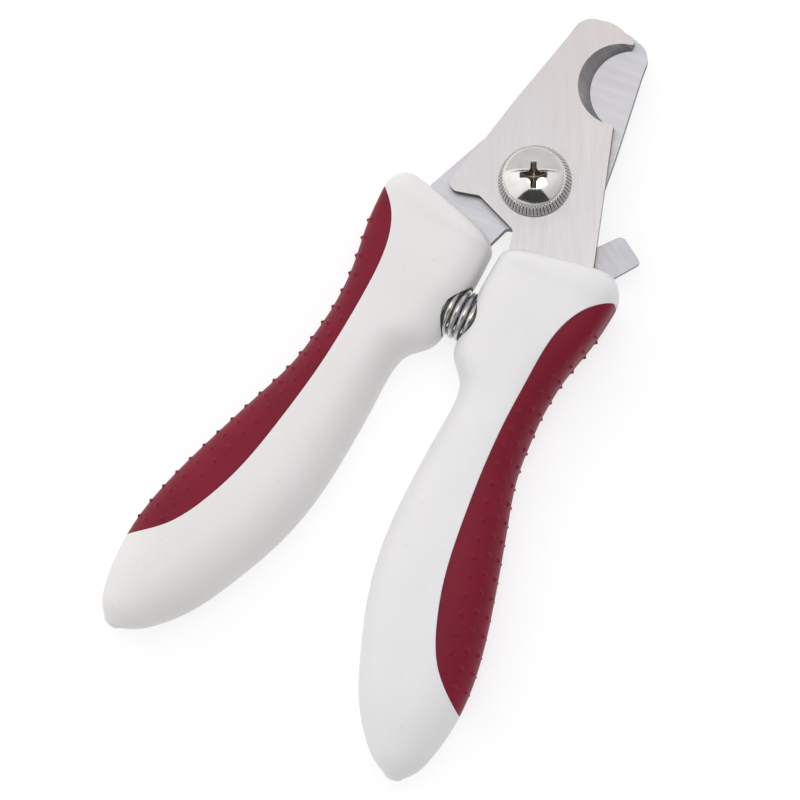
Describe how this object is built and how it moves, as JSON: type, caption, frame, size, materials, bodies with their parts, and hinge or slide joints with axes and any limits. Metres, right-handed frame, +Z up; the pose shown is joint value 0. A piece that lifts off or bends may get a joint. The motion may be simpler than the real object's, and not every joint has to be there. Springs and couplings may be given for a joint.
{
  "type": "pet nail trimmer",
  "caption": "Hand-held plier-type pet nail trimmer: half-moon steel blades on a screw pivot, sprung curved handles with ribbed soft grips and a flick lock lever.",
  "frame": {"origin": "on the resting surface, under the middle of the closed tool's box", "axes": "+Y along the centre line towards the blade tips, +Z up from the resting surface through the pivot screw's head, +X across the handles"},
  "size_m": [0.0806, 0.1641, 0.0161],
  "materials": {
    "blade_steel": "fine satin grind along the blade, bright ground bevel",
    "lever_steel": "satin stamped sheet with bright edges",
    "polished_chrome": "polished nickel plate",
    "plated_steel": "bright zinc plate",
    "spring_steel": "bright drawn wire",
    "white_plastic": "soft satin moulded plastic",
    "crimson_rubber": "matt thermoplastic rubber with small raised bumps"
  },
  "bodies": {
    "right_half": {"front_blade": "blade_steel", "right_upper_shell": "white_plastic", "right_lower_shell": "white_plastic", "right_grip": "crimson_rubber", "right_tang_pins": "plated_steel", "pivot_screw": "polished_chrome", "knurled_collar": "plated_steel", "pivot_sleeve": "plated_steel", "rear_washer": "plated_steel", "spring_washer": "plated_steel", "pivot_nut": "plated_steel", "lever_rivet": "lever_steel", "lever_washer": "plated_steel", "return_spring": "spring_steel"},
    "left_half": {"rear_blade": "blade_steel", "left_upper_shell": "white_plastic", "left_lower_shell": "white_plastic", "left_grip": "crimson_rubber", "left_tang_pins": "plated_steel"},
    "lock": {"lock_lever": "lever_steel"}
  },
  "joints": [
    {"name": "handle_hinge", "type": "hinge", "parent": "right_half", "child": "left_half", "pos_m": [0, 0.0436, 0.0078], "axis": [0, 0, -1], "range_deg": [0, 15], "stiffness_Nm_per_rad": 0.8, "springref_deg": 24, "deforming": ["return_spring"]},
    {"name": "lever_pivot", "type": "hinge", "parent": "right_half", "child": "lock", "pos_m": [0.015, 0.0274, 0.0071], "axis": [0, 0, -1], "range_deg": [0, 18]}
  ],
  "couplings": [
    {"joint": "lever_pivot", "follows": "handle_hinge", "ratio": 1.2}
  ]
}
